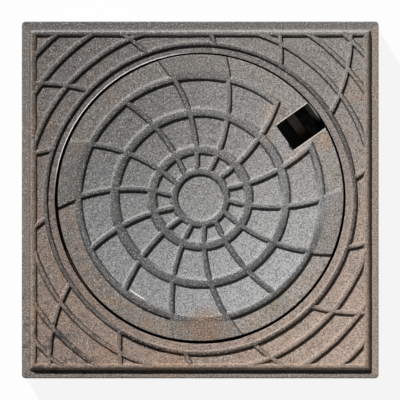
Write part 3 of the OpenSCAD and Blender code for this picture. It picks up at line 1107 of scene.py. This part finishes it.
def frame_marks(m, colour, radius, square):
    """Oil, rust, the soaked foot of the ring and the dark line on the left ledge."""
    x, y, z = m.axes()
    corner = m.times(m.ramp(m.math("ADD", x, y), -0.3, -0.36), m.ramp(x, -0.1, -0.14))
    oily = m.times(corner, m.ramp(m.noise(15 * MM, 4.0, 0.65, shift=5.1), 0.5, 0.62))
    colour = m.tint(colour, oily, 0.65, (42, 38, 36))
    ragged = m.ramp(m.noise(5 * MM, 4.0, 0.7, shift=6.2), 0.34, 0.52)
    on_rib = m.ramp(z, FLOOR_Z + 0.2 * MM, FLOOR_Z + 1.2 * MM)
    colour = stained(m, colour, FRAME_RUST, ragged)
    colour = stained(m, colour, FRAME_OIL, m.times(on_rib, ragged))
    foot = m.times(m.between(radius, *RING_FOOT, 0.7 * MM), m.near(RING_FOOT_SPOT, 28, 40))
    colour = m.tint(colour, foot, m.math("ADD", 0.5, m.times(ragged, 0.45)), (22, 20, 19))
    left_line = m.times(m.between(square, *LEDGE_LINE, 0.4 * MM), m.ramp(x, -0.2, -0.22))
    return m.tint(colour, left_line, 0.6, (62, 56, 52))


print(len(FRAME_OIL), "oil stains and", len(FRAME_RUST), "rust stains on the frame")

# %% [markdown]
# ## Edge and depths of the pocket
#
# The pocket's rim is rubbed bare at the upper left and carries a painted highlight there, and the seam
# beside it is painted nearly black as shade. Below the ledge the iron is plain brown. Where light falls
# through the notch, the seat and the wall behind it get painted light, and the wall's far end painted shade:
# all of it is limited to surfaces that look upwards, so that nothing of it shows below.

# %% Pocket rim, seam and depths
BARE_RIM_HIGHLIGHT = (POCKET_R + 0.6 * MM, POCKET_R + 1.5 * MM)
BARE_RIM_HIGHLIGHT_SPOT = (-138, 140)
KNOB_HIGHLIGHT_SPOT = (197.4, 165.3)
NOTCH_LIT_SEAT_SPOT = (122, 112)
NOTCH_LIT_WALL_SPOT = (145, 126)
NOTCH_SHADED_END_SPOT = (157, 112)
SEAT_LEVEL = (47 * MM, 49 * MM)


def pocket_edge(m, colour, radius):
    """The bare rim with its painted highlight, painted shade in the seam and a painted highlight for the
    knob.
    """
    # The bare rim is white: partly bare metal, partly a painted highlight on the lip that faces the sun.
    rim = m.times(m.between(radius, *BARE_RIM_HIGHLIGHT, 0.35 * MM), m.near(BARE_RIM_HIGHLIGHT_SPOT, 90, 155))
    colour = m.tint(colour, rim, 0.95, (255, 254, 252))
    # Painted shade in the seam.
    in_seam = m.ramp(radius, POCKET_R + 0.45 * MM, POCKET_R + 0.15 * MM)
    colour = seam_shade(m, colour, in_seam, (12, 11, 10))
    # A small pale dot is a painted highlight standing in for the knob beside the border.
    return m.tint(colour, m.near(KNOB_HIGHLIGHT_SPOT, 0.9, 2.0), 1.0, (190, 188, 182))


def pocket_depths(m, radius, blotch):
    """Plain brown below the ledge, with painted light on the seat and wall under the notch and painted shade
    at the wall's far end.
    """
    facing_up = m.ramp(m.axes(m.normal)[2], 0.04, 0.12)
    in_pocket = m.times(facing_up, m.ramp(m.axes()[2], *SEAT_LEVEL))
    on_wall = m.times(in_pocket, m.ramp(radius, 182 * MM, 186 * MM))
    depths = m.mix(blotch, linear(66, 56, 48), linear(112, 88, 70))
    # Painted light where light through the notch falls on the seat.
    depths = m.tint(depths, in_pocket, m.near(NOTCH_LIT_SEAT_SPOT, 5, 34), (248, 232, 220))
    # Painted shade at the far end of the wall.
    depths = m.tint(depths, on_wall, m.near(NOTCH_SHADED_END_SPOT, 26, 38), (14, 14, 14))
    # Painted light on the wall behind the notch.
    return m.tint(depths, on_wall, m.near(NOTCH_LIT_WALL_SPOT, 6, 26), (232, 236, 222))


print("the bare rim is", round((BARE_RIM_HIGHLIGHT[1] - BARE_RIM_HIGHLIGHT[0]) / MM, 1), "mm wide")

# %% [markdown]
# ## The iron of the frame
#
# As with the cover, the layers go one over another, from the ground up to the seam, and the depths come
# in below the ledge.

# %% Material of the frame
def frame_iron():
    """Brown iron that drifts from dark at the upper left to sandy at the lower right, partly as painted
    light.
    """
    m = Recipe("rusted_frame_iron")
    radius = m.radius(0.0, POCKET_Y)
    blotch = m.noise(34 * MM, 4.0, 0.62, shift=1.1)
    square, top_side, right_side = square_masks(m)
    colour = frame_ground(m, blotch)
    colour = frame_border(m, colour, square, top_side, right_side)
    colour = frame_ribs(m, colour, radius, square, top_side)
    colour = frame_marks(m, colour, radius, square)
    colour = sand_grain(m, colour, 0.5)
    colour = pocket_edge(m, colour, radius)
    under = m.ramp(m.axes()[2], LEDGE_Z - 1.5 * MM, LEDGE_Z - 5.0 * MM)
    colour = m.mix(under, colour, pocket_depths(m, radius, blotch))
    return close_recipe(m, colour, -0.7, 1.4, 2.1 * MM, 1.1 * MM)


print("the frame's recipe is ready")

# %% [markdown]
# ## The seat ring
#
# The rubber ring in the seat shows only through the notch: black, a little shiny, and grey with dust in
# patches.

# %% Material of the seat ring
def seat_rubber():
    """Dusty black rubber."""
    m = Recipe("dusty_rubber")
    dust = m.ramp(m.noise(11 * MM, 5.0, 0.7), 0.4, 0.75)
    colour = m.mix(dust, linear(40, 40, 42), linear(120, 116, 110))
    skin = m.bump(m.noise(1.8 * MM, 4.0, 0.7), 0.25 * MM, 0.7)
    m.put(m.shader, {"Base Color": colour, "Roughness": 0.62, "Normal": skin})
    return m.material


def dress(obj, material):
    """Gives an object one material all over."""
    obj.data.materials.clear()
    obj.data.materials.append(material)
    print(obj.name, "wears", material.name)


dress(cover_casting, cover_iron())
dress(frame_casting, frame_iron())
dress(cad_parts["seat_gasket"], seat_rubber())

# %% [markdown]
# ## Camera
#
# The picture looks straight down through a long lens, so that nothing leans. With a lens this long the
# distance follows from the width that has to fit in the picture.

# %% Camera
PIXEL = 1.3445 * MM
PICTURE_PX = 400
CENTRE_PX = (200.2, 199.95)
LENS = 600.0
SENSOR = 36.0

camera_data = bpy.data.cameras.new("camera")
camera_data.lens = LENS
camera_data.sensor_width = SENSOR
camera = bpy.data.objects.new("camera", camera_data)
bpy.context.scene.collection.objects.link(camera)
distance = PICTURE_PX * PIXEL * LENS / SENSOR
camera.location = (
    (PICTURE_PX / 2 - CENTRE_PX[0]) * PIXEL,
    (CENTRE_PX[1] - PICTURE_PX / 2) * PIXEL,
    FLOOR_Z + distance,
)
camera_data.clip_end = 100.0
bpy.context.scene.camera = camera
print("camera", round(distance, 2), "m above the cover")

# %% [markdown]
# ## Light
#
# One sun from the upper left gives the ribs their light and dark flanks, and a plain sky fills the
# shadows a little. Together they light a flat surface so that its colour comes out as it was written. The
# sky itself is white to the camera.

# %% Light
SUN_AZIMUTH = math.radians(121)
SUN_HEIGHT = math.radians(38.5)
SKY_SHARE = 0.05
SUN_SPREAD = math.radians(1.6)

sun_data = bpy.data.lights.new("sun", "SUN")
sun_data.energy = (1.0 - SKY_SHARE) * math.pi / math.sin(SUN_HEIGHT)
sun_data.angle = SUN_SPREAD
sun = bpy.data.objects.new("sun", sun_data)
bpy.context.scene.collection.objects.link(sun)
level_part = math.cos(SUN_HEIGHT)
towards_sun = Vector((
    math.cos(SUN_AZIMUTH) * level_part, math.sin(SUN_AZIMUTH) * level_part, math.sin(SUN_HEIGHT),
))
sun.rotation_mode = "QUATERNION"
sun.rotation_quaternion = towards_sun.to_track_quat("Z", "Y")

world = bpy.data.worlds.new("sky")
world.use_nodes = True
bpy.context.scene.world = world
sky = world.node_tree
background = sky.nodes["Background"]
background.inputs["Color"].default_value = (1.0, 1.0, 1.0, 1.0)
rays = sky.nodes.new("ShaderNodeLightPath")
strength = sky.nodes.new("ShaderNodeMapRange")
strength.inputs["To Min"].default_value = SKY_SHARE
strength.inputs["To Max"].default_value = 1.0
sky.links.new(rays.outputs["Is Camera Ray"], strength.inputs["Value"])
sky.links.new(strength.outputs["Result"], background.inputs["Strength"])
print("sun", round(math.degrees(SUN_HEIGHT), 1), "degrees high, sky share", SKY_SHARE)

# %% [markdown]
# ## The floor
#
# A plain white floor would turn grey in the picture, because it is lit from the side. So it glows a
# little where the camera sees it, and only there: what it throws back onto the iron stays plain light.
# Under the castings it doesn't glow, or the clear opening would look lit from below.

# %% Floor
FLOOR_HALF = 3.0
FLOOR_GREY = 0.86
GLOW_SHARE = 0.9
GLOW_FROM = 0.9 * FRAME_HALF


def build_floor():
    """A white floor that shows the camera only a faint shadow."""
    corners = [(x * FLOOR_HALF, y * FLOOR_HALF, 0) for x, y in ((-1, -1), (1, -1), (1, 1), (-1, 1))]
    mesh = bpy.data.meshes.new("floor")
    mesh.from_pydata(corners, [], [(0, 1, 2, 3)])
    floor = bpy.data.objects.new("floor", mesh)
    bpy.context.scene.collection.objects.link(floor)
    m = Recipe("white_floor")
    plaster = {"Base Color": (FLOOR_GREY, FLOOR_GREY, FLOOR_GREY, 1.0), "Roughness": 0.9}
    m.put(m.shader, {**plaster, "Specular IOR Level": 0.0})
    distance_out = m.add("VectorMath", {0: m.place}, operation="LENGTH")["Value"]
    beyond = m.math("GREATER_THAN", distance_out, GLOW_FROM)
    glowing = m.times(m.add("LightPath", {})["Is Camera Ray"], beyond, GLOW_SHARE)
    glow = m.add("Emission", {})[0]
    blend = m.add("MixShader", {"Fac": glowing, 1: m.shader.outputs[0], 2: glow})[0]
    m.put(m.tree.nodes["Material Output"], {"Surface": blend})
    mesh.materials.append(m.material)
    return floor


build_floor()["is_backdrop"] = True
print("the floor is", 2 * FLOOR_HALF, "m wide and glows from", round(GLOW_FROM, 3), "m outwards")

# %% [markdown]
# ## Closing
#
# The view transform is set to plain, so that colours aren't bent afterwards. The size of the dressed part
# is written down beside that of the bare castings: they have to agree.

# %% Closing
bpy.context.scene.view_settings.view_transform = "Standard"
dressed_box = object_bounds()
differences = [abs(a - b) for p, q in zip(cad_box, dressed_box) for a, b in zip(p, q)]
print("the dressed box and the castings' box differ by", round(max(differences) / MM, 3), "mm")
